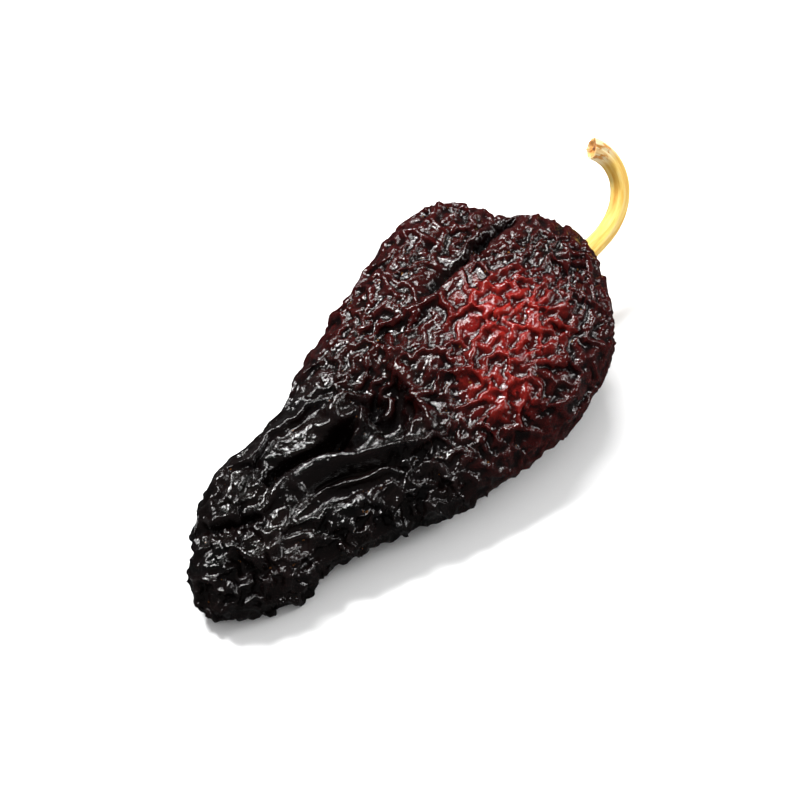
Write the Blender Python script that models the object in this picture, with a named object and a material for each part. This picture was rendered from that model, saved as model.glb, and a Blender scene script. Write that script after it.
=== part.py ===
"""A dried chilli pepper of the broad, heart-shaped kind, lying on its side.

Three pieces: the collapsed pod, the papery calyx that sits in the hollow between its shoulders, and the hooked
stem. Metres, +Z up. The pod runs along X, its blunt tip towards -X and its stem towards +X, and it rests on Z = 0.
"""

import math

import bmesh
import bpy
import numpy as np
from mathutils import Matrix, Vector, noise

# Driving dimensions.
POD_LENGTH = 0.128
POD_LEFT_WIDTH = 0.029
POD_RIGHT_WIDTH = 0.0355
POD_THICKNESS = 0.0275
TIP_POINT = 0.0004
SEAT_RADIUS = 0.0084
SEAT_DEPTH = 0.0140
SEAT_SIDE = -0.0100
SEAT_HEIGHT = 0.0128
CALYX_RADIUS = SEAT_RADIUS - 0.0008
CALYX_THICKNESS = 0.0012
CALYX_CROWN = 0.0030
CALYX_LOBES = 5
CALYX_LOBE_DEPTH = 0.0013
STEM_LENGTH = 0.0432
STEM_RADIUS = 0.0023
STEM_FOOT_RADIUS = 0.0030
STEM_CUT_RADIUS = 0.0026
STEM_RIB = 0.00012
STEM_RIBS = 5
STEM_TWIST = 1.5
STEM_STRAIGHT = 0.33
STEM_TURN = math.radians(128)
STEM_TIGHTENING = 1.45
STEM_FOOT_FADE = 0.12
STEM_CUT_START = 0.80
CLEARANCE = 0.0003

# How the stem leaves the pod, and the side that it hooks towards.
STEM_AXIS = Vector((0.965, -0.09, 0.160)).normalized()
STEM_HOOK = Vector((-0.41, 0.67, 0.62))

# Mesh fineness.
POD_AROUND = 84
POD_ALONG = 52
HOLLOW_RINGS = 9
CALYX_AROUND = 40
STEM_STEPS = 26
STEM_AROUND = 20
CROWDED_ENDS = 0.45

# The plan of each side: (share of the length from the tip, share of that side's width).
LEFT_EDGE = (
    (0.00, 0.04), (0.03, 0.28), (0.08, 0.46), (0.14, 0.60), (0.22, 0.71), (0.32, 0.65), (0.40, 0.66),
    (0.48, 0.79), (0.60, 0.89), (0.70, 0.94), (0.80, 1.00), (0.88, 1.00), (1.00, 0.93),
)
RIGHT_EDGE = (
    (0.00, 0.04), (0.03, 0.14), (0.08, 0.25), (0.125, 0.36), (0.18, 0.35), (0.30, 0.56), (0.40, 0.74),
    (0.50, 0.88), (0.60, 0.97), (0.70, 1.00), (0.80, 0.97), (0.88, 0.87), (1.00, 0.72),
)
# The side view: (share of the length from the tip, share of the thickness).
TOP_EDGE = (
    (0.00, 0.20), (0.03, 0.36), (0.08, 0.46), (0.16, 0.52), (0.28, 0.56), (0.40, 0.62), (0.52, 0.76),
    (0.64, 0.90), (0.76, 0.99), (0.88, 1.00), (1.00, 0.98),
)
UNDER_EDGE = (
    (0.00, 0.16), (0.03, 0.02), (0.08, -0.06), (0.16, -0.05), (0.28, 0.05), (0.40, 0.03), (0.52, -0.06),
    (0.66, -0.09), (0.80, -0.07), (0.90, -0.04), (1.00, 0.00),
)
# The shoulders' reach round the stem: (degrees from the left side by way of the top, share of the length).
SHOULDER_REACH = (
    (0, 0.930), (30, 0.965), (46, 0.955), (60, 0.925), (76, 0.975), (100, 0.990), (130, 0.965),
    (160, 0.930), (200, 0.900), (235, 0.925), (270, 0.945), (300, 0.925), (330, 0.930), (360, 0.930),
)
SHOULDER_START_ABOVE = 0.885
SHOULDER_START_ASIDE = 0.825
SHOULDER_MOUTH = 0.44
HOLLOW_LIP = 0.90
HOLLOW_WALL = 0.45
SEAT_RINGS = (0.68, 0.34)

# The furrows between the pod's three lobes: (degrees, depth, width in degrees, share of the length it starts at).
FURROWS = ((61, 0.0065, 9, 0.60), (212, 0.0045, 13, 0.62), (318, 0.0040, 12, 0.66))

# Folds of the upper face: (height, width, path), the path in shares of the length and of each side's width.
FOLDS = (
    (-0.0036, 0.0046, ((0.47, 0.33), (0.49, 0.10), (0.485, -0.10), (0.455, -0.29))),
    (-0.0040, 0.0038, ((0.43, -0.06), (0.37, 0.04), (0.31, 0.17), (0.26, 0.23), (0.21, 0.26))),
    (-0.0022, 0.0034, ((0.355, -0.41), (0.31, -0.23), (0.26, -0.07), (0.205, 0.02))),
    (0.0018, 0.0040, ((0.49, 0.57), (0.42, 0.53), (0.36, 0.51), (0.28, 0.47), (0.215, 0.39))),
    (0.0022, 0.0034, ((0.40, -0.46), (0.335, -0.22), (0.27, -0.04), (0.22, 0.08), (0.185, 0.14))),
    (0.0014, 0.0034, ((0.38, -0.56), (0.32, -0.41), (0.26, -0.26), (0.20, -0.13))),
    (-0.0016, 0.0034, ((0.16, 0.42), (0.15, 0.22), (0.12, 0.05), (0.09, -0.10))),
    (-0.0016, 0.0036, ((0.56, 0.48), (0.60, 0.22), (0.63, 0.02))),
)
FOLD_FADE = 0.25
UPPER_FACE = 0.25
SWELL_HEIGHT = 0.0011
SWELL_SIZE = 0.013
FIRMNESS_AROUND = 0.86
FIRMNESS_UP = 0.74

POD_COLOUR = (0.030, 0.009, 0.008, 1.0)
CALYX_COLOUR = (0.30, 0.17, 0.055, 1.0)
STEM_COLOUR = (0.72, 0.42, 0.10, 1.0)


def clear_scene():
    for old in list(bpy.data.objects):
        bpy.data.objects.remove(old, do_unlink=True)


def finish(name, colour, roughness):
    """A plain Principled material."""
    material = bpy.data.materials.new(name)
    material.use_nodes = True
    shader = material.node_tree.nodes["Principled BSDF"]
    shader.inputs["Base Color"].default_value = colour
    shader.inputs["Roughness"].default_value = roughness
    shader.inputs["Metallic"].default_value = 0.0
    return material


def smooth_step(value):
    value = min(1.0, max(0.0, value))
    return value * value * (3 - 2 * value)


def along_curve(points, at):
    """The height at this place of a smooth curve through the points."""
    places = [p[0] for p in points]
    heights = [p[1] for p in points]
    last = len(points) - 2
    i = min(max(int(np.searchsorted(places, at, side="right")) - 1, 0), last)
    span = places[i + 1] - places[i]
    share = (at - places[i]) / span

    def slope(k):
        low, high = max(k - 1, 0), min(k + 1, last + 1)
        return (heights[high] - heights[low]) / (places[high] - places[low])

    square, cube = share * share, share**3
    return (
        heights[i] * (2 * cube - 3 * square + 1)
        + heights[i + 1] * (3 * square - 2 * cube)
        + span * slope(i) * (cube - 2 * square + share)
        + span * slope(i + 1) * (cube - square)
    )


def rounded(value, firmness):
    """A sine or cosine pushed outwards, which makes a round section fuller at its corners."""
    return math.copysign(abs(value) ** firmness, value)


def section_point(share, degrees, reach):
    """A point of the pod's skin, at a share of its length towards the shoulder, which reaches this far."""
    angle = math.radians(degrees)
    place = share * reach
    across = rounded(math.cos(angle), FIRMNESS_AROUND)
    upward = rounded(math.sin(angle), FIRMNESS_UP)
    left = POD_LEFT_WIDTH * along_curve(LEFT_EDGE, place)
    right = POD_RIGHT_WIDTH * along_curve(RIGHT_EDGE, place)
    top = POD_THICKNESS * along_curve(TOP_EDGE, place)
    under = POD_THICKNESS * along_curve(UNDER_EDGE, place)
    side = (left - right) / 2 + (left + right) / 2 * across
    height = (top + under) / 2 + (top - under) / 2 * upward
    return Vector((place * POD_LENGTH, side, height))


def seat_centre():
    return Vector((POD_LENGTH - SEAT_DEPTH, SEAT_SIDE, SEAT_HEIGHT))


def round_stem(radius, degrees, height):
    """A point of a circle round the stem's axis, this far up it from the seat."""
    angle = math.radians(degrees)
    left = Vector((0.0, 1.0, 0.0))
    left = (left - STEM_AXIS * left.dot(STEM_AXIS)).normalized()
    up = STEM_AXIS.cross(left)
    around = left * math.cos(angle) + up * math.sin(angle)
    return seat_centre() + around * radius + STEM_AXIS * height


def furrow_depth(share, degrees):
    depth = 0.0
    for centre, deepest, width, start in FURROWS:
        off = (degrees - centre + 180) % 360 - 180
        depth += deepest * math.exp(-((off / width) ** 2)) * smooth_step((share - start) / (1 - start))
    return depth


def outer_ring(share):
    """One ring of the pod's outside, from the tip at 0 to the crest of the shoulders at 1."""
    ring = []
    for i in range(POD_AROUND):
        degrees = 360 * i / POD_AROUND
        aside = math.cos(math.radians(degrees)) ** 2
        start = SHOULDER_START_ABOVE + (SHOULDER_START_ASIDE - SHOULDER_START_ABOVE) * aside
        turned_in = min(1.0, max(0.0, (share - start) / (1 - start)))
        inward = 1 - math.sqrt(1 - turned_in**2)
        reach = along_curve(SHOULDER_REACH, degrees)
        skin = section_point(share, degrees, reach)
        mouth = round_stem(SEAT_RADIUS, degrees, 0.0)
        mouth.x = skin.x
        skin = skin.lerp(mouth, inward * (1 - SHOULDER_MOUTH))
        middle = Vector((skin.x, SEAT_SIDE, SEAT_HEIGHT))
        skin += (middle - skin).normalized() * furrow_depth(share, degrees)
        ring.append(skin)
    return ring


def hollow_rings(crest):
    """The rings that run from the shoulders' crest down into the hollow, to the flat seat of the calyx."""
    rings = []
    for k in range(1, HOLLOW_RINGS + 1):
        t = k / HOLLOW_RINGS
        ring = []
        for i, rim in enumerate(crest):
            degrees = 360 * i / POD_AROUND
            foot = round_stem(SEAT_RADIUS, degrees, 0.0)
            above = round_stem(SEAT_RADIUS, degrees, 0.0)
            above.x += HOLLOW_WALL * (rim.x - foot.x)
            within = rim.lerp(Vector((rim.x, foot.y, foot.z)), HOLLOW_LIP)
            a, b = rim.lerp(within, t), within.lerp(above, t)
            c = above.lerp(foot, t)
            ring.append(a.lerp(b, t).lerp(b.lerp(c, t), t))
        rings.append(ring)
    for share in SEAT_RINGS:
        rings.append([round_stem(SEAT_RADIUS * share, 360 * i / POD_AROUND, 0.0) for i in range(POD_AROUND)])
    return rings


def fold_paths():
    """The folds with their paths in metres, seen from above."""
    found = []
    for height, width, path in FOLDS:
        places = []
        for share, side in path:
            edge = POD_LEFT_WIDTH if side > 0 else POD_RIGHT_WIDTH
            places.append(Vector((share * POD_LENGTH, side * edge)))
        found.append((height, width, places))
    return found


def beside_path(point, path):
    """How far a point is from a path, and how much of the fold is left there, which fades at both ends."""
    lengths = [(b - a).length for a, b in zip(path, path[1:])]
    total, passed, best, at = sum(lengths), 0.0, 1e9, 0.0
    for a, b, length in zip(path, path[1:], lengths):
        along = min(1.0, max(0.0, (point - a).dot(b - a) / length**2))
        gap = (point - a.lerp(b, along)).length
        if gap < best:
            best, at = gap, (passed + along * length) / total
        passed += length
    return best, smooth_step(at / FOLD_FADE) * smooth_step((1 - at) / FOLD_FADE)


def folded(point, folds):
    """The point with the upper face's folds and a slow swell put on it, and pressed flat where it rests."""
    plan = Vector((point.x, point.y))
    upper = smooth_step(point.z / (UPPER_FACE * POD_THICKNESS) - 1)
    from_seat = (point - seat_centre()).length
    free = smooth_step((from_seat - SEAT_RADIUS) / SEAT_RADIUS)
    rise = 0.0
    for height, width, path in folds:
        gap, left = beside_path(plan, path)
        rise += height * left * math.exp(-((gap / width) ** 2))
    swell = SWELL_HEIGHT * noise.noise(point / SWELL_SIZE) * free
    outward = Vector((0.0, point.y / POD_RIGHT_WIDTH, 2 * point.z / POD_THICKNESS - 1)).normalized()
    moved = point + Vector((0.0, 0.0, rise * upper * free)) + outward * swell
    moved.z = max(moved.z, 0.0)
    return moved


def skin_rings(mesh, rings, start, end):
    """Quads between rings that follow one another, closed at each end by a fan to a point."""
    loops = [[mesh.verts.new(p) for p in ring] for ring in rings]
    for below, above in zip(loops, loops[1:]):
        for i in range(len(below)):
            j = (i + 1) % len(below)
            mesh.faces.new((below[i], below[j], above[j], above[i]))
    for loop, point in ((loops[0], start), (loops[-1], end)):
        hub = mesh.verts.new(point)
        for i in range(len(loop)):
            mesh.faces.new((loop[i], loop[(i + 1) % len(loop)], hub))


def mesh_object(name, mesh, material):
    bmesh.ops.recalc_face_normals(mesh, faces=mesh.faces)
    data = bpy.data.meshes.new(name)
    mesh.to_mesh(data)
    mesh.free()
    data.materials.append(material)
    data.shade_smooth()
    made = bpy.data.objects.new(name, data)
    bpy.context.scene.collection.objects.link(made)
    return made


def make_pod():
    folds = fold_paths()
    outer = [outer_ring(share) for share in ring_shares()]
    rings = outer + hollow_rings(outer[-1])
    rings = [[folded(point, folds) for point in ring] for ring in rings]
    tip = folded(section_point(0.0, 0.0, 1.0) + Vector((-TIP_POINT, 0.0, 0.0)), folds)
    mesh = bmesh.new()
    skin_rings(mesh, rings, tip, seat_centre())
    return mesh_object("pod", mesh, finish("pod_skin", POD_COLOUR, 0.35))


def ring_shares():
    """Ring places along the pod, closer together at the tip and at the shoulders, where the skin turns in."""
    shares = []
    for k in range(POD_ALONG + 1):
        even = k / POD_ALONG
        shares.append((1 - math.cos(math.pi * even)) / 2 * CROWDED_ENDS + even * (1 - CROWDED_ENDS))
    return [s for s in shares if s > 0.0]


def make_calyx():
    """A shallow cap with a scalloped edge, whose flat foot stands a clearance above its seat."""
    rings = []
    profile = (
        (1.00, CLEARANCE),
        (1.00, CLEARANCE + CALYX_THICKNESS),
        (0.80, CLEARANCE + CALYX_THICKNESS + 0.15 * CALYX_CROWN),
        (0.60, CLEARANCE + CALYX_THICKNESS + 0.45 * CALYX_CROWN),
    )
    for share, height in profile:
        ring = []
        for i in range(CALYX_AROUND):
            degrees = 360 * i / CALYX_AROUND
            scallop = CALYX_LOBE_DEPTH * (0.5 - 0.5 * math.cos(math.radians(CALYX_LOBES * degrees))) * share
            ring.append(round_stem(CALYX_RADIUS * share - scallop, degrees, height))
        rings.append(ring)
    crown = CLEARANCE + CALYX_THICKNESS + CALYX_CROWN
    rings.append([round_stem(STEM_FOOT_RADIUS, 360 * i / CALYX_AROUND, crown) for i in range(CALYX_AROUND)])
    mesh = bmesh.new()
    skin_rings(mesh, rings, round_stem(0.0, 0.0, CLEARANCE), round_stem(0.0, 0.0, crown))
    return mesh_object("calyx", mesh, finish("calyx_skin", CALYX_COLOUR, 0.75))


def stem_path():
    """The stem's centre line: straight out of the calyx, then a hook that tightens towards the cut end."""
    sideways = (STEM_HOOK - STEM_AXIS * STEM_HOOK.dot(STEM_AXIS)).normalized()
    point = round_stem(0.0, 0.0, 2 * CLEARANCE + CALYX_THICKNESS + CALYX_CROWN)
    points = [point.copy()]
    step = STEM_LENGTH / STEM_STEPS
    for k in range(STEM_STEPS):
        share = (k + 0.5) / STEM_STEPS
        turned = STEM_TURN * max(0.0, (share - STEM_STRAIGHT) / (1 - STEM_STRAIGHT)) ** STEM_TIGHTENING
        point += (STEM_AXIS * math.cos(turned) + sideways * math.sin(turned)) * step
        points.append(point.copy())
    return points


def make_stem():
    """A ribbed, nearly round stem on a curve, wider at its foot and at its cut end."""
    path = stem_path()
    aside = STEM_HOOK.cross(STEM_AXIS).normalized()
    rings = []
    for k, point in enumerate(path):
        share = k / STEM_STEPS
        along = (path[min(k + 1, STEM_STEPS)] - path[max(k - 1, 0)]).normalized()
        outward = aside.cross(along).normalized()
        flare = (STEM_FOOT_RADIUS - STEM_RADIUS) * math.exp(-share / STEM_FOOT_FADE)
        to_cut = smooth_step((share - STEM_CUT_START) / (1 - STEM_CUT_START))
        swollen = (STEM_CUT_RADIUS - STEM_RADIUS) * to_cut
        ring = []
        for i in range(STEM_AROUND):
            angle = 2 * math.pi * i / STEM_AROUND
            rib = STEM_RIB * math.cos(STEM_RIBS * angle + STEM_TWIST * share)
            radius = STEM_RADIUS + flare + swollen + rib
            ring.append(point + (aside * math.cos(angle) + outward * math.sin(angle)) * radius)
        rings.append(ring)
    mesh = bmesh.new()
    skin_rings(mesh, rings, path[0], path[-1])
    return mesh_object("stem", mesh, finish("stem_bark", STEM_COLOUR, 0.55))


def stand_at_origin(objects):
    """Moves every piece so that the whole stands on Z = 0, centred on the origin."""
    places = [vertex.co for made in objects for vertex in made.data.vertices]
    low = Vector([min(p[k] for p in places) for k in range(3)])
    high = Vector([max(p[k] for p in places) for k in range(3)])
    shift = Vector((-(low.x + high.x) / 2, -(low.y + high.y) / 2, -low.z))
    for made in objects:
        made.data.transform(Matrix.Translation(shift))


def main():
    clear_scene()
    pieces = [make_pod(), make_calyx(), make_stem()]
    stand_at_origin(pieces)


main()
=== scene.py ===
"""A dried chilli pepper lying on a pale studio floor.

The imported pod, calyx and stem give the sizes and places. The pod's skin is made again as a fine
mesh that is grown and left to buckle over its flesh, so that its folds and wrinkles are real shapes.
The stem is swept along its curve by Geometry Nodes, and the calyx is a lobed, veined cap.
Metres, +Z up.
"""

import math

import bmesh
import bpy
import numpy as np
from mathutils import Euler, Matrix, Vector, noise


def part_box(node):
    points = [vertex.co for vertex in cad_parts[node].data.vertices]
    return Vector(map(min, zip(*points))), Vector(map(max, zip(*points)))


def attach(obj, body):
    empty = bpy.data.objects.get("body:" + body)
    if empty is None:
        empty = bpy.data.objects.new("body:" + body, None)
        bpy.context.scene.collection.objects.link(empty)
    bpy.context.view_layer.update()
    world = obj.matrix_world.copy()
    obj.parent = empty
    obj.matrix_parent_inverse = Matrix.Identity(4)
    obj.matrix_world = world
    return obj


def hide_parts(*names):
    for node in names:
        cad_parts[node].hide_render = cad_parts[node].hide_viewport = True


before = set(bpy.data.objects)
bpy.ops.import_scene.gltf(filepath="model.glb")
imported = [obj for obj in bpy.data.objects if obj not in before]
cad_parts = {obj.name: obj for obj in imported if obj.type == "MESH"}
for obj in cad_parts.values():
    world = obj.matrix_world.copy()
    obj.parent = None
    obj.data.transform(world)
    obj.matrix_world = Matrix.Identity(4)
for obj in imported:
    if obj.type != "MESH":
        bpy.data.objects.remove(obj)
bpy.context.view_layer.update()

POD_LOW, POD_HIGH = (Vector(corner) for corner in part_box("pod"))
POD_LENGTH = POD_HIGH.x - POD_LOW.x
POD_WIDTH = POD_HIGH.y - POD_LOW.y

# The pale floor and the wall round it.
FLOOR_REACH = 3.0
WALL_HEIGHT = 4.0

# The camera looks down on the pod from its right-hand side.
CAMERA_AZIMUTH = math.radians(-54)
CAMERA_ELEVATION = math.radians(50)
CAMERA_DISTANCE = 0.4605
CAMERA_LENS = 90
CAMERA_AIM = Vector((-0.0051, 0.0045, 0.0085))

# The softboxes: (name, how far left of, beyond and above the pod, width and height, watts).
SOFTBOXES = (
    ("key", (0.45, 0.35, 0.75), (0.17, 0.17), 9.5),
    ("top", (0.05, 0.55, 0.70), (0.34, 0.10), 6.5),
    ("side", (-0.75, 0.20, 0.45), (0.18, 0.32), 3.2),
)
FILL_STRENGTH = 1.9
FILL_SPREAD = math.radians(120)
WORLD_STRENGTH = 0.10

# The skin: a coarse mesh carries the folds, and a finer one the wrinkles.
COARSE_EDGE = 0.00082
COARSE_RELAXING = 10
REMESH_TURN = (0.6, 0.5, 0.7)
FOLD_ROUNDS = 260
WRINKLE_ROUNDS = 220
SHOWN_FROM = -0.35
STRETCH = 0.5
SIDEWAYS_HOLD = 0.15
OUTWARD_HOLD = 0.7
INWARD_HOLD = 1.5
SEAT_QUIET = 0.0085
SEAT_WRINKLED = 0.0125
# How far a fold sinks before the painted shadow in it is at its darkest.
DEEPEST_FOLD = 0.0030
HOLLOW_RADIUS = 0.0098
# How smooth a skin the crests are measured from, and the height over it that spans the painted shade from
# valley to crest.
CREST_RELAXING = 30
CREST_HEIGHT = 0.00065
DRAG = 0.88
PACE = 0.12

# The pod's own folds, seen from above: (height, width, path), each place as a share of the length
# from the tip and a share of the width from the right-hand edge.
FOLDS = (
    (0.0016, 0.0026, ((0.47, 0.70), (0.41, 0.65), (0.35, 0.66), (0.26, 0.70), (0.19, 0.66))),
    (-0.0034, 0.0019, ((0.43, 0.58), (0.38, 0.59), (0.34, 0.61), (0.28, 0.66), (0.22, 0.65))),
    (
        0.0024,
        0.0018,
        ((0.48, 0.28), (0.415, 0.37), (0.36, 0.45), (0.31, 0.56), (0.24, 0.61), (0.18, 0.60)),
    ),
    (-0.0014, 0.0013, ((0.41, 0.33), (0.35, 0.42), (0.295, 0.50), (0.24, 0.53))),
    (0.0013, 0.0013, ((0.39, 0.31), (0.33, 0.41), (0.27, 0.48), (0.22, 0.50))),
    (-0.0034, 0.0040, ((0.50, 0.60), (0.47, 0.52), (0.45, 0.45), (0.45, 0.38))),
    (0.0022, 0.0016, ((0.49, 0.59), (0.495, 0.54), (0.48, 0.51), (0.46, 0.51))),
    (0.0018, 0.0013, ((0.46, 0.60), (0.43, 0.55), (0.405, 0.53), (0.38, 0.53))),
    (0.0016, 0.0017, ((0.55, 0.62), (0.54, 0.54), (0.525, 0.46), (0.50, 0.38), (0.46, 0.31))),
    (
        -0.0042,
        0.0023,
        ((0.97, 0.62), (0.90, 0.63), (0.86, 0.635), (0.81, 0.65), (0.75, 0.665), (0.68, 0.67)),
    ),
    (-0.0010, 0.0010, ((0.33, 0.77), (0.26, 0.75), (0.21, 0.70))),
    (0.0010, 0.0012, ((0.23, 0.83), (0.175, 0.80), (0.13, 0.75))),
    (0.0010, 0.0012, ((0.25, 0.76), (0.18, 0.71), (0.13, 0.67))),
    (0.0012, 0.0011, ((0.12, 0.64), (0.10, 0.58), (0.10, 0.53), (0.12, 0.48))),
    (-0.0014, 0.0013, ((0.11, 0.80), (0.115, 0.71), (0.14, 0.67), (0.18, 0.60))),
)
FOLD_FADE = 0.22
STROKE_STEPS = 6

# The bowls that crumple the skin: how they are drawn, and their sizes among the folds and the wrinkles.
DIMPLE_SEED = 3
DIMPLE_WARP = 0.50
DIMPLE_BOWL = 0.6
DIMPLE_TILT = 1.7
DIMPLE_OFFSET = 0.35
DIMPLE_STRETCH = np.array((0.75, 1.0, 1.0))
FOLD_DIMPLES = 0.0052
WRINKLE_DIMPLES = 0.0026

# Where the skin is thin and red: the place, and how far the red reaches from it.
RED_HEART = ((0.0170, -0.0095, 0.026), 0.027)
RED_PATCH = ((0.0015, -0.0175, 0.0215), 0.018)

# The stem leaves the middle of the calyx, runs straight and then hooks over to its cut end.
STEM_AXIS = Vector((0.965, -0.09, 0.160)).normalized()
STEM_HOOK = Vector((-0.41, 0.67, 0.62))
STEM_STEPS = 170
STEM_AROUND = 72
STEM_SIZES = {
    "Length": 0.0432,
    "Radius": 0.0023,
    "Foot radius": 0.0030,
    "Foot fade": 0.12,
    "Cut radius": 0.0026,
    "Cut start": 0.80,
    "Straight share": 0.33,
    "Turn": math.radians(128),
    "Tightening": 1.45,
    "Rib depth": 0.00016,
    "Ribs": 5.0,
    "Twist": 1.5,
    "Furrow depth": 0.00045,
    "Furrow place": 2.4,
    "Grain depth": 0.00022,
    "Crease depth": 0.00040,
}

# Where round the stem the bend is creased, and the steps across its cut end: (how far it shrinks, how
# far it sinks).
CREASED_SIDE = 2.0
CUT_STEPS = ((0.94, 0.0), (0.76, 0.00015), (0.66, 0.00035), (0.50, 0.00040))
CUT_RAGGED = 0.00045
CUT_TILT = 0.25

# The calyx is a lobed cap round the stem's foot, this far down the axis from the stem's own foot.
CALYX_BELOW_STEM = 0.0048
CALYX_FOOT = 0.0003
CALYX_EDGE = 0.0074
CALYX_MIDDLE = 0.0027
CALYX_RISE = 0.0041
CALYX_WALL = 0.0007
CALYX_LOBES = 5
CALYX_CURL = 0.0012
CALYX_VEIN_HEIGHT = 0.00035
CALYX_RIPPLES = 900
CALYX_RIPPLE_HEIGHT = 0.00022
CALYX_AROUND = 160
CALYX_RINGS = 26


def smooth_step(low, high, value):
    share = np.clip((value - low) / (high - low), 0.0, 1.0)
    return share * share * (3 - 2 * share)


# ---------------------------------------------------------------- meshes


def merged_copy(node, name):
    """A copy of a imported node, with its loose triangles joined."""
    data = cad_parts[node].data.copy()
    data.name = name
    mesh = bmesh.new()
    mesh.from_mesh(data)
    bmesh.ops.remove_doubles(mesh, verts=mesh.verts, dist=1e-6)
    mesh.to_mesh(data)
    mesh.free()
    data.materials.clear()
    return linked(name, data)


def linked(name, data):
    piece = bpy.data.objects.new(name, data)
    bpy.context.scene.collection.objects.link(piece)
    return piece


def made_plain(piece):
    """Puts the evaluated mesh in place of the one with modifiers."""
    graph = bpy.context.evaluated_depsgraph_get()
    plain = bpy.data.meshes.new_from_object(piece.evaluated_get(graph))
    piece.modifiers.clear()
    piece.data = plain


def positions(data):
    flat = np.empty(len(data.vertices) * 3, dtype=np.float32)
    data.vertices.foreach_get("co", flat)
    return flat.reshape(-1, 3)


def put_positions(data, places):
    data.vertices.foreach_set("co", places.astype(np.float32).ravel())
    data.update()


def put_values(data, name, values):
    """Stores one number at each point, for the materials to read."""
    layer = data.attributes.new(name, "FLOAT", "POINT")
    layer.data.foreach_set("value", values.astype(np.float32))


def speckle(places, size, seed):
    """Smooth noise at each place, about -1 to 1, with features of this size."""
    offset = Vector((seed * 3.1, seed * 7.7, seed * 1.3))
    return np.array([noise.noise(Vector(p) / size + offset) for p in places], dtype=np.float32)


def dimples(places, size, seed):
    """Tilted bowls about this wide, which meet in sharp crests like crumpled foil, in metres."""
    noise.seed_set(DIMPLE_SEED)
    offset = Vector((seed * 5.3, seed * 2.9, seed * 8.1))
    heights = []
    for place in places:
        at = Vector(place) / size + offset
        at += DIMPLE_WARP * noise.noise_vector(at * 0.8)
        lowest = 9.0
        for gap, centre in zip(*noise.voronoi(at)):
            tilt = noise.noise_vector(centre * 31.7)
            height = DIMPLE_BOWL * gap * gap + DIMPLE_TILT * tilt.dot(at - centre)
            lowest = min(lowest, height + DIMPLE_OFFSET * tilt.x)
        heights.append(lowest)
    return size * (np.array(heights, dtype=np.float32) - np.mean(heights))


class Sheet:
    """A skin as linked points, which stretch, bend and lean on the flesh under them."""

    def __init__(self, data):
        self.data = data
        self.rest = positions(data)
        corners = np.empty(len(data.loops), dtype=np.int32)
        data.loops.foreach_get("vertex_index", corners)
        starts = np.empty(len(data.polygons), dtype=np.int32)
        data.polygons.foreach_get("loop_start", starts)
        totals = np.empty(len(data.polygons), dtype=np.int32)
        data.polygons.foreach_get("loop_total", totals)
        pairs = []
        for size in range(3, int(totals.max()) + 1):
            faces = corners[starts[totals == size][:, None] + np.arange(size)]
            for k in range(size):
                pairs.append(faces[:, (k, (k + 1) % size)])
            if size == 4:
                pairs += [faces[:, (0, 2)], faces[:, (1, 3)]]
        links = np.unique(np.sort(np.vstack(pairs), axis=1), axis=0)
        both = np.vstack((links, links[:, ::-1]))
        both = both[np.argsort(both[:, 0], kind="stable")]
        self.home, self.away = both[:, 0].copy(), both[:, 1].copy()
        count = np.bincount(self.home, minlength=len(self.rest))
        self.degree = count.astype(np.float32)[:, None]
        self.first = np.concatenate(([0], np.cumsum(count[:-1])))

    def gather(self, per_link):
        """The sum of a value over each point's links."""
        return np.add.reduceat(per_link, self.first, axis=0)

    def mean_near(self, values):
        return self.gather(values[self.away]) / self.degree

    def relaxed(self, places, rounds):
        for _ in range(rounds):
            places = places + 0.5 * (self.mean_near(places) - places)
            places[:, 2] = np.maximum(places[:, 2], 0.0)
        return places

    def normals(self, places):
        put_positions(self.data, places)
        flat = np.empty(len(places) * 3, dtype=np.float32)
        self.data.vertex_normals.foreach_get("vector", flat)
        return flat.reshape(-1, 3)

    def buckled(self, heading, along, across, bend, hold, rounds, seed, kick):
        """Grows the skin along and across the heading while the flesh holds it, so it wrinkles."""
        home, away, rest = self.home, self.away, self.rest
        spans = rest[away] - rest[home]
        lengths = np.linalg.norm(spans, axis=1) + 1e-12
        squarely = (np.einsum("nc,nc->n", spans, heading[home]) / lengths) ** 2
        along = (along[home] + along[away]) / 2
        across = (across[home] + across[away]) / 2
        growth = (along * squarely + across * (1 - squarely)).astype(np.float32)
        start_curl = self.mean_near(rest) - rest
        facing = self.normals(rest)
        jitter = np.random.default_rng(seed).standard_normal(len(rest)).astype(np.float32)
        places = rest + facing * (kick * jitter)[:, None]
        bend = bend.astype(np.float32)[:, None]
        hold = hold.astype(np.float32)[:, None]
        speed = np.zeros_like(rest)
        for k in range(rounds):
            grown = lengths * (1 + growth * min(1.0, 1.6 * (k + 1) / rounds))
            spans = places[away] - places[home]
            size = np.sqrt(np.einsum("nc,nc->n", spans, spans)) + 1e-9
            pull = self.gather((1 - grown / size)[:, None] * spans)
            curl = self.gather(spans) / self.degree - start_curl
            spread = self.mean_near(curl)
            off = places - rest
            height = np.einsum("nc,nc->n", off, facing)[:, None]
            leaning = height * np.where(height > 0, OUTWARD_HOLD, INWARD_HOLD)
            held = hold * (SIDEWAYS_HOLD * off + leaning * facing)
            force = STRETCH * pull + bend * (curl - spread) - held
            speed = DRAG * speed + PACE * force
            places = places + speed
            places[:, 2] = np.maximum(places[:, 2], 0.0)
        return places


def put_in_order(parts, place):
    """Numbers points or faces by their places alone, so that each run treats them alike."""
    parts.index_update()
    places = np.array([place(part) for part in parts])
    ranks = np.argsort(np.lexsort(places.T)).tolist()
    parts.sort(key=lambda part: ranks[part.index])


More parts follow.
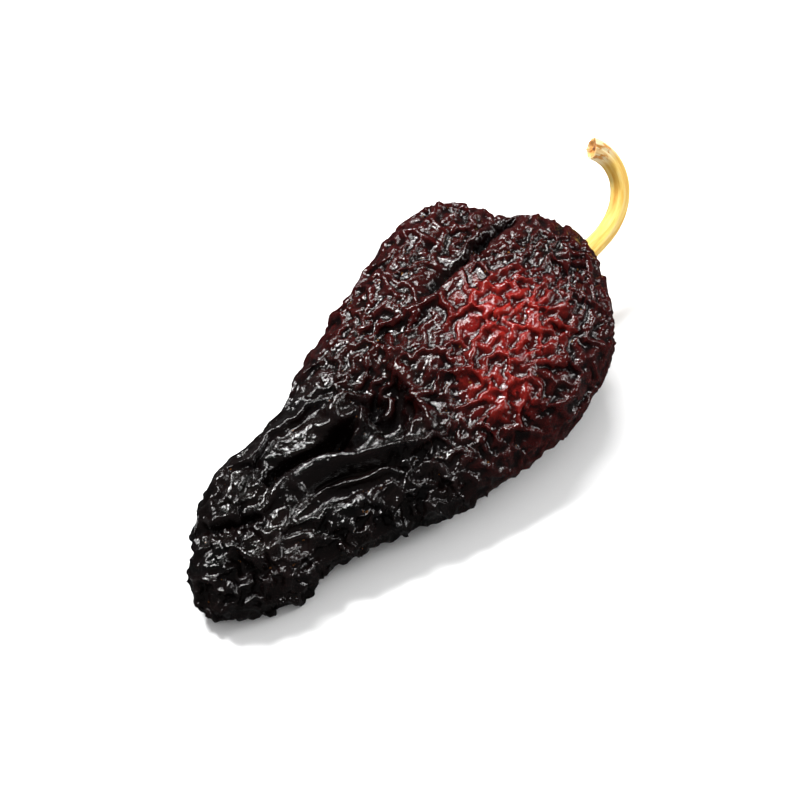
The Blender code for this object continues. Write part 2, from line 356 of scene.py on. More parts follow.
def finer(data):
    """Splits the faces that show into four, and leaves those turned to the floor as they are."""
    mesh = bmesh.new()
    mesh.from_mesh(data)
    shown = [
        edge for edge in mesh.edges if any(face.normal.z > SHOWN_FROM for face in edge.link_faces)
    ]
    bmesh.ops.subdivide_edges(mesh, edges=shown, cuts=1, use_grid_fill=True)
    put_in_order(mesh.verts, lambda point: point.co)
    put_in_order(mesh.faces, lambda face: face.calc_center_median())
    mesh.to_mesh(data)
    mesh.free()
    data.update()


# ---------------------------------------------------------------- the pod's skin


def shares(places):
    """How far along the pod each place is, from 0 at the tip, and across, from 0 at the right edge."""
    return (places[:, 0] - POD_LOW.x) / POD_LENGTH, (places[:, 1] - POD_LOW.y) / POD_WIDTH


def coarse_skin():
    """The pod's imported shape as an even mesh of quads, with its facets smoothed out."""
    piece = merged_copy("pod", "pod_skin")
    turned = Euler(REMESH_TURN).to_matrix().to_4x4()
    piece.data.transform(turned)
    even = piece.modifiers.new("Even quads", "REMESH")
    even.mode = "VOXEL"
    even.voxel_size = COARSE_EDGE
    made_plain(piece)
    piece.data.transform(turned.inverted())
    sheet = Sheet(piece.data)
    put_positions(piece.data, sheet.relaxed(sheet.rest, COARSE_RELAXING))
    return piece


def lay_flat(piece, seat):
    """Unwraps the smooth skin for the bake, cut along its lower edge and round the hollow."""
    mesh = bmesh.new()
    mesh.from_mesh(piece.data)
    parts = []
    for face in mesh.faces:
        off = face.calc_center_median() - seat
        aside = off - STEM_AXIS * off.dot(STEM_AXIS)
        hollow = off.dot(STEM_AXIS) > -0.5 * HOLLOW_RADIUS and aside.length < HOLLOW_RADIUS
        parts.append(2 if hollow else int(face.normal.z > SHOWN_FROM))
    mesh.faces.index_update()
    for edge in mesh.edges:
        edge.seam = len({parts[face.index] for face in edge.link_faces}) > 1
    mesh.to_mesh(piece.data)
    mesh.free()
    piece.data.uv_layers.new(name="OFBake")
    bpy.context.view_layer.objects.active = piece
    bpy.ops.object.mode_set(mode="EDIT")
    bpy.ops.mesh.select_all(action="SELECT")
    bpy.ops.uv.unwrap(method="MINIMUM_STRETCH", iterations=8, margin=0.006)
    bpy.ops.object.mode_set(mode="OBJECT")


def smooth_path(path):
    """Points along a smooth curve through a fold's places, in metres."""
    low = np.array((POD_LOW.x, POD_LOW.y))
    knots = low + np.array(path) * np.array((POD_LENGTH, POD_WIDTH))
    knots = np.vstack((2 * knots[0] - knots[1], knots, 2 * knots[-1] - knots[-2]))
    points = []
    for a, b, c, d in zip(knots, knots[1:], knots[2:], knots[3:]):
        for t in np.arange(STROKE_STEPS) / STROKE_STEPS:
            bow = (2 * a - 5 * b + 4 * c - d) * t**2 + (3 * b - a - 3 * c + d) * t**3
            points.append((2 * b + (c - a) * t + bow) / 2)
    points.append(knots[-2])
    return np.array(points)


def fold_rise(places):
    """How far the folds lift or sink the upper face at each place."""
    rise = np.zeros(len(places))
    for height, width, path in FOLDS:
        points = smooth_path(path)
        steps = np.linalg.norm(np.diff(points, axis=0), axis=1)
        passed = np.concatenate(([0.0], np.cumsum(steps)))
        best, at = np.full(len(places), 1e9), np.zeros(len(places))
        for k, (a, b) in enumerate(zip(points, points[1:])):
            along = np.clip((places[:, :2] - a) @ (b - a) / steps[k] ** 2, 0.0, 1.0)
            gap = np.linalg.norm(places[:, :2] - a - along[:, None] * (b - a), axis=1)
            closer = gap < best
            best = np.where(closer, gap, best)
            at = np.where(closer, (passed[k] + along * steps[k]) / passed[-1], at)
        left = smooth_step(0.0, FOLD_FADE, at) * smooth_step(0.0, FOLD_FADE, 1 - at)
        rise += height * left * np.exp(-((best / width) ** 2))
    return rise


def looseness(places, seat):
    """How freely the skin moves: not at all round the seat of the calyx, and wholly further out."""
    return smooth_step(SEAT_QUIET, SEAT_WRINKLED, np.linalg.norm(places - seat, axis=1))


def lifted(places, facing, rise):
    return places + facing * rise[:, None].astype(np.float32)


def headings(x, y):
    """Level directions of unit length."""
    heading = np.stack((x, y, 0 * x), axis=1)
    return (heading / np.linalg.norm(heading, axis=1)[:, None]).astype(np.float32)


def tip_share(length):
    """One over the narrow end of the pod, and nothing over its shoulders."""
    return 1 - smooth_step(0.40, 0.54, length)


def folded(sheet, seat):
    """The coarse skin with the pod's own folds pressed in, crumpled and then buckled into large folds."""
    facing = sheet.normals(sheet.rest)
    rise = smooth_step(0.1, 0.5, facing[:, 2]) * fold_rise(sheet.rest)
    length, side = shares(sheet.rest)
    tip = tip_share(length)
    ridged = tip * smooth_step(0.30, 0.42, side) * smooth_step(0.14, 0.24, length)
    bowls = dimples(sheet.rest * DIMPLE_STRETCH, FOLD_DIMPLES, 1)
    rise += looseness(sheet.rest, seat) * (0.16 + 0.14 * tip - 0.24 * ridged) * bowls
    sheet.rest = lifted(sheet.rest, facing, rise)
    patches, grain = speckle(sheet.rest, 0.009, 1), speckle(sheet.rest, 0.005, 2)
    return sheet.buckled(
        headings(np.ones(len(tip)), -0.45 * tip),
        along=0.10 + 0.11 * tip - 0.16 * ridged + 0.05 * grain,
        across=0.12 + 0.11 * tip + 0.04 * ridged + 0.05 * grain,
        bend=0.13 + 0.09 * ridged,
        hold=0.034 * np.exp(1.2 * patches),
        rounds=FOLD_ROUNDS,
        seed=3,
        kick=0.00008,
    )


def wrinkled(sheet, seat):
    """The fine skin crumpled and buckled into small wrinkles, which run lengthwise near the rim."""
    length, side = shares(sheet.rest)
    tip = tip_share(length)
    ridged = tip * smooth_step(0.36, 0.48, side) * smooth_step(0.16, 0.26, length)
    patches, grain = speckle(sheet.rest, 0.010, 6), speckle(sheet.rest, 0.006, 5)
    amount = np.clip(0.80 + 0.7 * patches, 0.25, 1.3) * (1 - 0.80 * ridged)
    amount = amount * looseness(sheet.rest, seat)
    facing = sheet.normals(sheet.rest)
    bowls = dimples(sheet.rest * DIMPLE_STRETCH, WRINKLE_DIMPLES, 2)
    sheet.rest = lifted(sheet.rest, facing, (0.36 + 0.06 * tip) * amount * bowls)
    rim = smooth_step(0.80, 0.88, length) * (1 - smooth_step(0.45, 0.60, side))
    return sheet.buckled(
        headings(1 - 0.38 * rim, 0.78 * rim),
        along=(0.05 + 0.06 * tip - 0.03 * rim) * amount,
        across=(0.06 + 0.07 * tip + 0.20 * rim) * amount,
        bend=0.075 + 0.03 * tip,
        hold=0.040 * np.exp(1.6 * grain),
        rounds=WRINKLE_ROUNDS,
        seed=4,
        kick=0.00004,
    )


def make_pod_skin(seat):
    """The pod's skin: its own folds, then buckled twice, and quiet round the seat of the calyx."""
    piece = coarse_skin()
    lay_flat(piece, Vector(seat))
    data = piece.data
    put_positions(data, folded(Sheet(data), seat))
    finer(data)
    sheet = Sheet(data)
    sheet.rest = sheet.relaxed(sheet.rest, 1)
    places = wrinkled(sheet, seat)
    facing = sheet.normals(sheet.rest)
    smoothed = sheet.mean_near(sheet.relaxed(places, CREST_RELAXING))
    height = np.einsum("nc,nc->n", places - smoothed, facing)
    put_positions(data, places)
    # The wrinkles' height over the smoothed skin: the material paints shade into the valleys by it.
    put_values(data, "crest", np.clip(0.5 + height / CREST_HEIGHT, 0.0, 1.0))
    # The sunken folds on the faces turned upwards, marked for the material to paint shadow into them.
    painted_fold_shade = np.clip(-fold_rise(places) / DEEPEST_FOLD, 0.0, 1.0)
    put_values(data, "painted_fold_shade", painted_fold_shade * smooth_step(-0.2, 0.3, facing[:, 2]))
    data.shade_smooth()
    data.materials.append(skin_material())
    return piece


# ---------------------------------------------------------------- nodes


class Tree:
    """Nodes made and linked in one line each."""

    def add(self, kind, settings=None, **inputs):
        node = self.tree.nodes.new(kind)
        for key, value in (settings or {}).items():
            setattr(node, key, value)
        for key, value in inputs.items():
            self.put(node.inputs[key.replace("_", " ")], value)
        return node

    def put(self, socket, value):
        if isinstance(value, bpy.types.NodeSocket):
            self.tree.links.new(value, socket)
        else:
            socket.default_value = value

    def math(self, operation, first, second=0.0, third=0.0):
        node = self.tree.nodes.new("ShaderNodeMath")
        node.operation = operation
        for socket, value in zip(node.inputs, (first, second, third)):
            self.put(socket, value)
        return node.outputs[0]

    def vector(self, operation, first, second=(0.0, 0.0, 0.0), scale=1.0):
        node = self.tree.nodes.new("ShaderNodeVectorMath")
        node.operation = operation
        self.put(node.inputs[0], first)
        self.put(node.inputs[1], second)
        self.put(node.inputs[3], scale)
        return node.outputs["Vector"]

    def joined(self, x, y, z):
        return self.add("ShaderNodeCombineXYZ", X=x, Y=y, Z=z).outputs["Vector"]

    def noise(self, place, scale, detail=3.0, roughness=0.5, distortion=0.0):
        node = self.add("ShaderNodeTexNoise", Vector=place, Scale=scale, Detail=detail)
        node.inputs["Roughness"].default_value = roughness
        node.inputs["Distortion"].default_value = distortion
        return node.outputs[0]

    def level(self, share, low, high, to_low=0.0, to_high=1.0):
        node = self.add("ShaderNodeMapRange", {"interpolation_type": "SMOOTHSTEP"}, Value=share)
        ends = {"From Min": low, "From Max": high, "To Min": to_low, "To Max": to_high}
        for key, value in ends.items():
            node.inputs[key].default_value = value
        return node.outputs["Result"]


# ---------------------------------------------------------------- the stem and calyx


class StemTree(Tree):
    """The Geometry Nodes of the stem. Its sizes are the inputs, and its path starts at the origin."""

    def __init__(self, material):
        self.tree = bpy.data.node_groups.new("Hooked stem", "GeometryNodeTree")
        sockets = self.tree.interface
        sockets.new_socket("Stem", in_out="OUTPUT", socket_type="NodeSocketGeometry")
        for name, size in STEM_SIZES.items():
            sockets.new_socket(name, in_out="INPUT", socket_type="NodeSocketFloat").default_value = size
        for name in ("Axis", "Sideways"):
            sockets.new_socket(name, in_out="INPUT", socket_type="NodeSocketVector")
        self.sizes = self.tree.nodes.new("NodeGroupInput").outputs
        stem = self.relief(self.swept(self.path(), self.profile()))
        stem = self.add("GeometryNodeRealizeInstances", Geometry=stem).outputs["Geometry"]
        stem = self.add("GeometryNodeSetMaterial", Geometry=stem, Material=material).outputs["Geometry"]
        self.put(self.tree.nodes.new("NodeGroupOutput").inputs["Stem"], stem)

    def stores(self, shape, name, value, kind="FLOAT"):
        settings = {"data_type": kind, "domain": "POINT"}
        node = self.add("GeometryNodeStoreNamedAttribute", settings, Geometry=shape, Name=name)
        self.put(next(s for s in node.inputs if s.name == "Value" and s.enabled), value)
        return node.outputs["Geometry"]

    def reads(self, name):
        node = self.add("GeometryNodeInputNamedAttribute", {"data_type": "FLOAT"}, Name=name)
        return node.outputs["Attribute"]

    def path(self):
        """The centre line: each step turns a little further, and the steps are added up."""
        line = self.add("GeometryNodeCurvePrimitiveLine").outputs["Curve"]
        settings = {"mode": "COUNT"}
        line = self.add("GeometryNodeResampleCurve", settings, Curve=line, Count=STEM_STEPS + 1)
        along = self.add("GeometryNodeSplineParameter").outputs["Factor"]
        middle = self.math("ADD", along, 0.5 / STEM_STEPS)
        past = self.math("SUBTRACT", middle, self.sizes["Straight share"])
        past = self.math("DIVIDE", past, self.math("SUBTRACT", 1.0, self.sizes["Straight share"]))
        past = self.math("MAXIMUM", past, 0.0)
        turned = self.math("POWER", past, self.sizes["Tightening"])
        turned = self.math("MULTIPLY", turned, self.sizes["Turn"])
        ahead = self.vector("SCALE", self.sizes["Axis"], scale=self.math("COSINE", turned))
        over = self.vector("SCALE", self.sizes["Sideways"], scale=self.math("SINE", turned))
        step = self.math("DIVIDE", self.sizes["Length"], float(STEM_STEPS))
        step = self.vector("SCALE", self.vector("ADD", ahead, over), scale=step)
        sums = self.add("GeometryNodeAccumulateField", {"data_type": "FLOAT_VECTOR"})
        self.put(sums.inputs[0], step)
        line = self.stores(line.outputs["Curve"], "along", along)
        return self.add("GeometryNodeSetPosition", Geometry=line, Position=sums.outputs["Trailing"])

    def profile(self):
        ring = self.add("GeometryNodeCurvePrimitiveCircle", Resolution=STEM_AROUND, Radius=1.0)
        round_it = self.add("GeometryNodeSplineParameter").outputs["Factor"]
        turn = self.math("MULTIPLY", round_it, 2 * math.pi)
        return self.stores(ring.outputs["Curve"], "turn", turn)

    def swept(self, path, profile):
        """A round rod, flared at its foot and swollen towards the cut."""
        along = self.add("GeometryNodeSplineParameter").outputs["Factor"]
        fading = self.math("DIVIDE", self.math("MULTIPLY", along, -1.0), self.sizes["Foot fade"])
        fading = self.math("EXPONENT", fading)
        flare = self.math("SUBTRACT", self.sizes["Foot radius"], self.sizes["Radius"])
        to_cut = self.add("ShaderNodeMapRange", {"interpolation_type": "SMOOTHSTEP"}, Value=along)
        self.put(to_cut.inputs["From Min"], self.sizes["Cut start"])
        swell = self.math("SUBTRACT", self.sizes["Cut radius"], self.sizes["Radius"])
        radius = self.math("ADD", self.sizes["Radius"], self.math("MULTIPLY", flare, fading))
        radius = self.math("ADD", radius, self.math("MULTIPLY", swell, to_cut.outputs["Result"]))
        path = path.outputs["Geometry"]
        rod = self.add("GeometryNodeCurveToMesh", Curve=path, Profile_Curve=profile, Scale=radius)
        self.put(rod.inputs["Fill Caps"], True)
        return rod.outputs["Mesh"]

    def relief(self, rod):
        """Ribs, a furrow, fine grain and the creases inside the bend, stored for the material too."""
        along, turn = self.reads("along"), self.reads("turn")
        fibre = self.joined(self.math("COSINE", turn), self.math("SINE", turn), along)
        rod = self.stores(rod, "fibre", fibre, "FLOAT_VECTOR")
        wander = self.noise(self.joined(0.0, 0.0, along), 5.0, 2.0)
        twisted = self.math("MULTIPLY_ADD", along, self.sizes["Twist"], turn)
        ribs = self.math("COSINE", self.math("MULTIPLY", twisted, self.sizes["Ribs"]))
        ribs = self.math("MULTIPLY", ribs, self.sizes["Rib depth"])
        off = self.math("SUBTRACT", twisted, self.sizes["Furrow place"])
        off = self.math("MULTIPLY_ADD", self.math("SUBTRACT", wander, 0.5), 1.6, off)
        near = self.math("POWER", self.math("MAXIMUM", self.math("COSINE", off), 0.0), 60.0)
        near = self.math("MULTIPLY", near, self.level(along, 0.04, 0.18))
        rod = self.stores(rod, "furrow", near)
        furrow = self.math("MULTIPLY", near, self.sizes["Furrow depth"])
        grain = self.noise(self.vector("MULTIPLY", fibre, (4.0, 4.0, 4.0)), 1.0, 4.0, 0.6)
        grain = self.math("MULTIPLY", self.math("SUBTRACT", grain, 0.5), self.sizes["Grain depth"])
        bend = self.level(along, 0.80, 0.88, 1.0, 0.0)
        bend = self.math("MULTIPLY", self.level(along, 0.60, 0.70), bend)
        inside = self.level(self.math("COSINE", self.math("SUBTRACT", turn, CREASED_SIDE)), 0.15, 0.85)
        creased = self.math("MULTIPLY", bend, inside)
        rod = self.stores(rod, "creased", creased)
        folds = self.noise(self.vector("MULTIPLY", fibre, (7.0, 7.0, 9.0)), 1.0, 2.0, 0.5, 0.4)
        folds = self.math("MULTIPLY", self.math("SUBTRACT", folds, 0.5), self.sizes["Crease depth"])
        folds = self.math("MULTIPLY", self.math("MULTIPLY", folds, 2.0), creased)
        sunk = self.math("SUBTRACT", furrow, folds)
        height = self.math("SUBTRACT", self.math("ADD", ribs, grain), sunk)
        facing = self.add("GeometryNodeInputNormal").outputs["Normal"]
        offset = self.vector("SCALE", facing, scale=height)
        return self.add("GeometryNodeSetPosition", Geometry=rod, Offset=offset).outputs["Geometry"]


def cut_across(data):
    """Opens the far end: a ragged rim and stepped rings that sink into the dark pith."""
    swept = len(data.vertices)
    mesh = bmesh.new()
    mesh.from_mesh(data)
    caps = [face for face in mesh.faces if len(face.verts) > 8]
    end = max(caps, key=lambda face: face.calc_center_median().y)
    out, middle = end.normal.copy(), end.calc_center_median()
    rim = list(end.verts)
    for shrunk, sunk in CUT_STEPS:
        bmesh.ops.inset_individual(mesh, faces=[end], thickness=0.0, depth=0.0)
        for point in end.verts:
            point.co = middle + (point.co - middle) * shrunk - out * sunk
    bmesh.ops.poke(mesh, faces=[end])
    mesh.verts.ensure_lookup_table()
    for point in rim + list(mesh.verts)[swept:]:
        point.co += out * (CUT_RAGGED * noise.noise(point.co * 900) + CUT_TILT * (point.co - middle).z)
    mesh.to_mesh(data)
    mesh.free()
    places = positions(data)
    gap = np.linalg.norm(places - np.array(middle), axis=1)
    inside = np.arange(len(places)) >= swept
    cut = np.where(inside, np.clip(1.15 - gap / STEM_SIZES["Cut radius"], 0.0, 1.0), 0.0)
    put_values(data, "cut", cut)


def make_stem():
    """The stem, and the point where its foot starts."""
    data = bpy.data.meshes.new("stem_rod")
    piece = linked("stem_rod", data)
    sideways = (STEM_HOOK - STEM_AXIS * STEM_HOOK.dot(STEM_AXIS)).normalized()
    tree = StemTree(stem_material()).tree
    sweep = piece.modifiers.new("Hooked stem", "NODES")
    sweep.node_group = tree
    for socket in tree.interface.items_tree:
        if socket.in_out == "INPUT":
            directions = {"Axis": STEM_AXIS, "Sideways": sideways}
            sweep[socket.identifier] = STEM_SIZES.get(socket.name) or directions[socket.name][:]
    made_plain(piece)
    data = piece.data
    places = positions(data)
    low, high = (np.array(corner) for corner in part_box("stem"))
    shift = (low + high - places.min(axis=0) - places.max(axis=0)) / 2
    put_positions(data, places + shift)
    cut_across(data)
    data.shade_smooth()
    return piece, Vector(shift)


def ripple(radius, angle):
    """The unevenness of the calyx at this distance and angle from its middle."""
    reach = radius * CALYX_RIPPLES
    return noise.noise(Vector((reach * math.cos(angle), reach * math.sin(angle), 3.0)))


def make_calyx(middle):
    """A thin, lobed and veined cap round the stem's foot, closed underneath."""
    left = Vector((0.0, 1.0, 0.0))
    left = (left - STEM_AXIS * left.dot(STEM_AXIS)).normalized()
    up = STEM_AXIS.cross(left)
    axes = np.array((left, up, STEM_AXIS))
    angle = 2 * np.pi * np.arange(CALYX_AROUND) / CALYX_AROUND
    inward = np.linspace(0.0, 1.0, CALYX_RINGS)[:, None]
    lobe = np.abs(np.cos(CALYX_LOBES * angle / 2)) ** 0.7
    wave = 0.05 * np.sin(2 * angle + 1.0) + 0.04 * np.sin(7 * angle)
    edge = CALYX_EDGE * (0.80 + 0.20 * lobe) * (1 + wave * 0.6)
    radius = edge + (CALYX_MIDDLE - edge) * inward
    share = 1 - inward
    vein = np.abs(np.cos(CALYX_LOBES * angle / 2)) ** 14
    vein += 0.5 * np.abs(np.cos(CALYX_LOBES * angle)) ** 24
    ripples = np.array([[ripple(r, a) for a, r in zip(angle, row)] for row in radius])
    height = CALYX_FOOT + CALYX_WALL + CALYX_RISE * inward**1.25
    height = height + CALYX_CURL * share**5 * (0.4 + lobe) * (1 + 3 * wave)
    height += CALYX_VEIN_HEIGHT * vein * share**0.5
    height += CALYX_RIPPLE_HEIGHT * ripples * np.minimum(1.0, 6 * inward)
    top = np.stack((radius * np.cos(angle), radius * np.sin(angle), height), axis=2)
    under = top.copy()
    under[:, :, 2] = np.maximum(CALYX_FOOT, height - CALYX_WALL)
    rings = np.concatenate((under[::-1], top)) @ axes + np.array(middle)
    ends = np.array(((0, 0, CALYX_FOOT), (0, 0, CALYX_FOOT + CALYX_WALL + CALYX_RISE)))
    ends = ends @ axes + np.array(middle)
    points = np.concatenate((rings.reshape(-1, 3), ends))
    rows, faces = len(rings), []
    for j in range(CALYX_AROUND):
        k = (j + 1) % CALYX_AROUND
        for i in range(rows - 1):
            at = i * CALYX_AROUND
            faces.append((at + j, at + k, at + CALYX_AROUND + k, at + CALYX_AROUND + j))
        faces.append((len(points) - 2, k, j))
        faces.append((len(points) - 1, at + CALYX_AROUND + j, at + CALYX_AROUND + k))
    data = bpy.data.meshes.new("calyx_cap")
    data.from_pydata(points.tolist(), [], faces)
    both = np.concatenate((share[::-1], share))
    put_values(data, "edge", np.append(np.repeat(both, CALYX_AROUND), (0, 0)))
    put_values(data, "vein", np.append(np.tile(vein, rows), (0, 0)))
    mesh = bmesh.new()
    mesh.from_mesh(data)
    bmesh.ops.recalc_face_normals(mesh, faces=mesh.faces)
    mesh.to_mesh(data)
    mesh.free()
    data.materials.append(calyx_material())
    data.shade_smooth()
    return linked("calyx_cap", data)


# ---------------------------------------------------------------- materials


class Nodes(Tree):
    """A material's nodes."""

    def __init__(self, name):
        self.material = bpy.data.materials.new(name)
        self.material.use_nodes = True
        self.tree = self.material.node_tree
        self.shader = self.tree.nodes["Principled BSDF"]

    def place(self):
        return self.add("ShaderNodeTexCoord").outputs["Object"]

    def stored(self, name, output="Fac"):
        return self.add("ShaderNodeAttribute", {"attribute_name": name}).outputs[output]

    def ramp(self, share, *stops):
        node = self.add("ShaderNodeValToRGB", Fac=share)
        for stop in list(node.color_ramp.elements)[1:]:
            node.color_ramp.elements.remove(stop)
        for k, (at, colour) in enumerate(stops):
            stop = node.color_ramp.elements[0] if k == 0 else node.color_ramp.elements.new(at)
            stop.position = at
            stop.color = (*colour, 1.0)
        return node.outputs["Color"]

    def mixed(self, share, first, second):
        node = self.tree.nodes.new("ShaderNodeMix")
        node.data_type = "RGBA"
        self.put(node.inputs[0], share)
        self.put(node.inputs[6], first if not isinstance(first, tuple) else (*first, 1.0))
        self.put(node.inputs[7], second if not isinstance(second, tuple) else (*second, 1.0))
        return node.outputs[2]

    def near(self, place, centre, reach):
        """One at this centre, falling to nothing at this distance from it."""
        gap = self.tree.nodes.new("ShaderNodeVectorMath")
        gap.operation = "DISTANCE"
        self.put(gap.inputs[0], place)
        gap.inputs[1].default_value = centre
        return self.level(gap.outputs["Value"], 0.0, reach, 1.0, 0.0)

    def bump(self, height, distance, strength=1.0, normal=None):
        node = self.add("ShaderNodeBump", Height=height, Distance=distance, Strength=strength)
        if normal is not None:
            self.put(node.inputs["Normal"], normal)
        return node.outputs["Normal"]


def skin_material():
    """Waxy dried skin: nearly black, dark red where it is thin, with painted shade darkening its valleys
    and sunken folds.
    """
    n = Nodes("waxy_red_black_skin")
    place = n.place()
    crest = n.stored("crest")
    mottle = n.noise(place, 95.0, 4.0, 0.6)
    fine = n.noise(place, 900.0, 3.0, 0.6)
    dark = n.ramp(mottle, (0.35, (0.0015, 0.0010, 0.0010)), (0.70, (0.006, 0.0032, 0.0030)))
    # Painted shade: both ramps run from near black in the valleys of the wrinkles up to the skin's own
    # maroon or red on the crests.
    maroon_with_valley_shade = n.ramp(
        crest,
        (0.12, (0.003, 0.0004, 0.0004)),
        (0.44, (0.016, 0.0011, 0.0010)),
        (0.85, (0.027, 0.0020, 0.0018)),
    )
    crimson_with_valley_shade = n.ramp(
        crest,
        (0.08, (0.034, 0.0011, 0.0009)),
        (0.42, (0.130, 0.0040, 0.0032)),
        (0.90, (0.20, 0.009, 0.006)),
    )
    ragged = n.math("MULTIPLY", n.math("SUBTRACT", n.noise(place, 150.0, 4.0, 0.65), 0.5), 1.3)
    long = n.add("ShaderNodeSeparateXYZ", Vector=place).outputs["X"]
    shoulders = n.math("MULTIPLY_ADD", ragged, 0.45, n.level(long, -0.036, 0.014))
    shoulders = n.level(shoulders, 0.15, 0.85)
    heart = n.math("MULTIPLY_ADD", ragged, 0.6, n.near(place, *RED_HEART))
    heart = n.level(heart, 0.25, 0.95)
    second = n.math("MULTIPLY_ADD", ragged, 0.6, n.near(place, *RED_PATCH))
    second = n.level(second, 0.30, 1.0, 0.0, 0.75)
    colour = n.mixed(shoulders, dark, maroon_with_valley_shade)
    colour = n.mixed(n.math("MAXIMUM", heart, second), colour, crimson_with_valley_shade)
    # Painted shadow: the sunken folds darkened nearly to black.
    colour = n.mixed(n.math("MULTIPLY", n.stored("painted_fold_shade"), 0.88), colour, (0.0012, 0.0006, 0.0006))
    flecks = n.level(n.noise(place, 700.0, 2.0), 0.70, 0.76)
    flecks = n.math("MULTIPLY", flecks, n.level(crest, 0.2, 0.5, 1.0, 0.0))
    colour = n.mixed(n.math("MULTIPLY", flecks, 0.7), colour, (0.16, 0.060, 0.012))
    n.put(n.shader.inputs["Base Color"], colour)
    dull = n.level(n.noise(place, 220.0, 3.0), 0.35, 0.65, 0.0, 0.08)
    gloss = n.math("ADD", dull, n.level(long, -0.030, 0.010, 0.10, 0.11))
    n.put(n.shader.inputs["Roughness"], gloss)
    n.shader.inputs["Specular IOR Level"].default_value = 0.34
    creased = n.math("ABSOLUTE", n.math("SUBTRACT", n.noise(place, 520.0, 3.0, 0.55, 0.5), 0.5))
    n.put(n.shader.inputs["Normal"], n.bump(creased, 0.0009, 0.45, n.bump(fine, 0.0002, 0.15)))
    return n.material


def floor_material():
    n = Nodes("pale_studio_floor")
    colour = n.ramp(n.noise(n.place(), 6.0), (0.3, (0.86, 0.86, 0.86)), (0.7, (0.88, 0.88, 0.88)))
    n.put(n.shader.inputs["Base Color"], colour)
    n.shader.inputs["Roughness"].default_value = 0.6
    n.shader.inputs["Specular IOR Level"].default_value = 0.2
    return n.material


def wall_material():
    n = Nodes("pale_studio_wall")
    n.put(n.shader.inputs["Base Color"], (0.0, 0.0, 0.0, 1.0))
    n.shader.inputs["Specular IOR Level"].default_value = 0.0
    n.put(n.shader.inputs["Emission Color"], (0.88, 0.88, 0.88, 1.0))
    n.shader.inputs["Emission Strength"].default_value = 1.0
    return n.material


def stem_material():
    """Dry straw: fibres run its length, orange in the furrow and brown where it creases at the bend."""
    n = Nodes("dry_straw_stem")
    fibre = n.stored("fibre", "Vector")
    around = n.vector("MULTIPLY", fibre, (1.0, 1.0, 0.0))
    long = n.add("ShaderNodeSeparateXYZ", Vector=fibre).outputs["Z"]
    streaks = n.noise(n.vector("MULTIPLY", fibre, (2.2, 2.2, 3.4)), 1.0, 4.0, 0.6, 0.3)
    threads = n.noise(n.vector("MULTIPLY", fibre, (11.0, 11.0, 8.0)), 1.0, 3.0, 0.6)
    straw = n.ramp(
        streaks,
        (0.30, (0.62, 0.26, 0.030)),
        (0.42, (0.70, 0.40, 0.065)),
        (0.55, (0.80, 0.55, 0.13)),
        (0.72, (0.78, 0.64, 0.28)),
    )
    colour = n.mixed(n.level(threads, 0.50, 0.72, 0.0, 0.30), straw, (0.58, 0.22, 0.020))
    furrow = n.level(n.stored("furrow"), 0.12, 0.55)
    colour = n.mixed(n.math("MULTIPLY", furrow, 0.9), colour, (0.56, 0.13, 0.008))
    bent = n.stored("creased")
    tan = n.mixed(n.level(threads, 0.45, 0.57), (0.13, 0.026, 0.004), (0.66, 0.22, 0.018))
    colour = n.mixed(n.math("MULTIPLY", bent, n.level(streaks, 0.30, 0.70, 1.0, 0.75)), colour, tan)
    head = n.math("MULTIPLY", n.level(long, 0.84, 0.93), n.level(streaks, 0.35, 0.55, 0.45, 0.95))
    colour = n.mixed(head, colour, (0.82, 0.68, 0.40))
    spots = n.noise(n.vector("MULTIPLY", fibre, (2.6, 2.6, 16.0)), 1.0, 2.0)
    spots = n.math("MULTIPLY", n.level(long, 0.86, 0.93), n.level(spots, 0.55, 0.64))
    colour = n.mixed(spots, colour, (0.62, 0.26, 0.04))
    cut = n.stored("cut")
    pith = n.level(n.noise(around, 2.5, 3.0), 0.40, 0.60)
    pith = n.mixed(pith, (0.48, 0.14, 0.020), (0.72, 0.38, 0.10))
    colour = n.mixed(n.level(cut, 0.1, 0.5), colour, pith)
    colour = n.mixed(n.level(cut, 0.72, 0.95), colour, (0.10, 0.030, 0.012))
    n.put(n.shader.inputs["Base Color"], colour)
    n.put(n.shader.inputs["Roughness"], n.level(threads, 0.3, 0.7, 0.42, 0.62))
    n.shader.inputs["Specular IOR Level"].default_value = 0.4
    n.put(n.shader.inputs["Normal"], n.bump(threads, 0.00025, 0.35))
    return n.material


def calyx_material():
    """Papery brown cap: tan on its veins and edges, darker and greener between them."""
    n = Nodes("papery_brown_calyx")
    place = n.place()
    vein = n.stored("vein")
    blotches = n.noise(place, 420.0, 4.0, 0.6)
    base = n.ramp(
        blotches,
        (0.30, (0.060, 0.030, 0.012)),
        (0.55, (0.17, 0.095, 0.035)),
        (0.78, (0.30, 0.19, 0.075)),
    )
    colour = n.mixed(n.level(vein, 0.25, 0.95, 0.0, 0.75), base, (0.46, 0.30, 0.12))
    colour = n.mixed(n.level(n.stored("edge"), 0.78, 1.0, 0.0, 0.7), colour, (0.075, 0.032, 0.014))
    n.put(n.shader.inputs["Base Color"], colour)
    n.put(n.shader.inputs["Roughness"], n.level(blotches, 0.3, 0.7, 0.55, 0.78))
    n.shader.inputs["Specular IOR Level"].default_value = 0.3
    n.put(n.shader.inputs["Normal"], n.bump(n.noise(place, 1500.0, 3.0, 0.6), 0.0002, 0.4))
    return n.material


# ---------------------------------------------------------------- the studio


def camera_back():
    """The direction from the aim to the camera."""
    flat = math.cos(CAMERA_ELEVATION)
    return Vector(
        (math.sin(CAMERA_AZIMUTH) * flat, -math.cos(CAMERA_AZIMUTH) * flat, math.sin(CAMERA_ELEVATION))
    )


def set_camera():
    data = bpy.data.cameras.new("camera")
    data.lens = CAMERA_LENS
    data.clip_start = 0.01
    camera = linked("camera", data)
    camera.location = CAMERA_AIM + CAMERA_DISTANCE * camera_back()
    camera.rotation_euler = camera_back().to_track_quat("Z", "Y").to_euler()
    bpy.context.scene.camera = camera


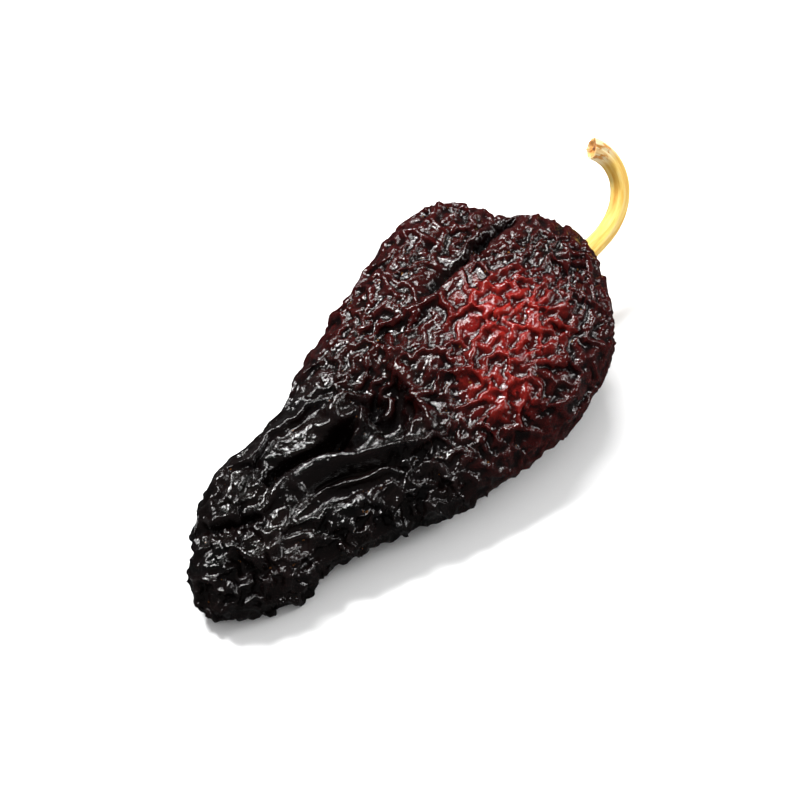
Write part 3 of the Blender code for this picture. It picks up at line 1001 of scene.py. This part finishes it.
def softbox(name, place, size, watts):
    """A lamp with a soft rectangular face, turned to the origin."""
    data = bpy.data.lights.new(name, "AREA")
    data.shape = "RECTANGLE"
    data.size, data.size_y = size
    data.energy = watts
    light = linked(name, data)
    light.location = place
    light.rotation_euler = place.to_track_quat("Z", "Y").to_euler()


def set_lights():
    """Softboxes placed as the camera sees them, and a soft fill that the skin does not mirror."""
    away = -camera_back()
    away = Vector((away.x, away.y, 0.0)).normalized()
    left = Vector((-away.y, away.x, 0.0))
    up = Vector((0.0, 0.0, 1.0))
    for name, (to_left, onward, height), size, watts in SOFTBOXES:
        softbox(name, to_left * left + onward * away + height * up, size, watts)
    fill = bpy.data.lights.new("fill", "SUN")
    fill.energy = FILL_STRENGTH
    fill.angle = FILL_SPREAD
    linked("fill", fill).visible_glossy = False
    world = bpy.data.worlds.new("studio")
    world.use_nodes = True
    world.node_tree.nodes["Background"].inputs["Color"].default_value = (1.0, 1.0, 1.0, 1.0)
    world.node_tree.nodes["Background"].inputs["Strength"].default_value = WORLD_STRENGTH
    bpy.context.scene.world = world
    bpy.context.scene.view_settings.view_transform = "Standard"


def make_floor():
    """A pale floor, and a pale wall round it that only the camera sees."""
    mesh = bmesh.new()
    bmesh.ops.create_grid(mesh, x_segments=2, y_segments=2, size=FLOOR_REACH)
    data = bpy.data.meshes.new("floor")
    mesh.to_mesh(data)
    mesh.free()
    data.materials.append(floor_material())
    floor = linked("floor", data)
    floor.visible_glossy = False
    corners = ((-1, -1), (1, -1), (1, 1), (-1, 1))
    points = [(x * FLOOR_REACH, y * FLOOR_REACH, z) for z in (0.0, WALL_HEIGHT) for x, y in corners]
    faces = [(k, k + 4, (k + 1) % 4 + 4, (k + 1) % 4) for k in range(4)]
    data = bpy.data.meshes.new("wall")
    data.from_pydata(points, [], faces)
    data.materials.append(wall_material())
    wall = linked("wall", data)
    wall.visible_glossy = False
    wall.visible_diffuse = False
    wall.visible_shadow = False


def main():
    set_camera()
    set_lights()
    make_floor()
    stem, foot = make_stem()
    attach(stem, "root")
    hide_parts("stem")
    seat = foot - STEM_AXIS * CALYX_BELOW_STEM
    pod_skin = make_pod_skin(np.array(seat))
    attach(pod_skin, "root")
    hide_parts("pod")
    calyx = make_calyx(seat)
    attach(calyx, "root")
    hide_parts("calyx")


main()
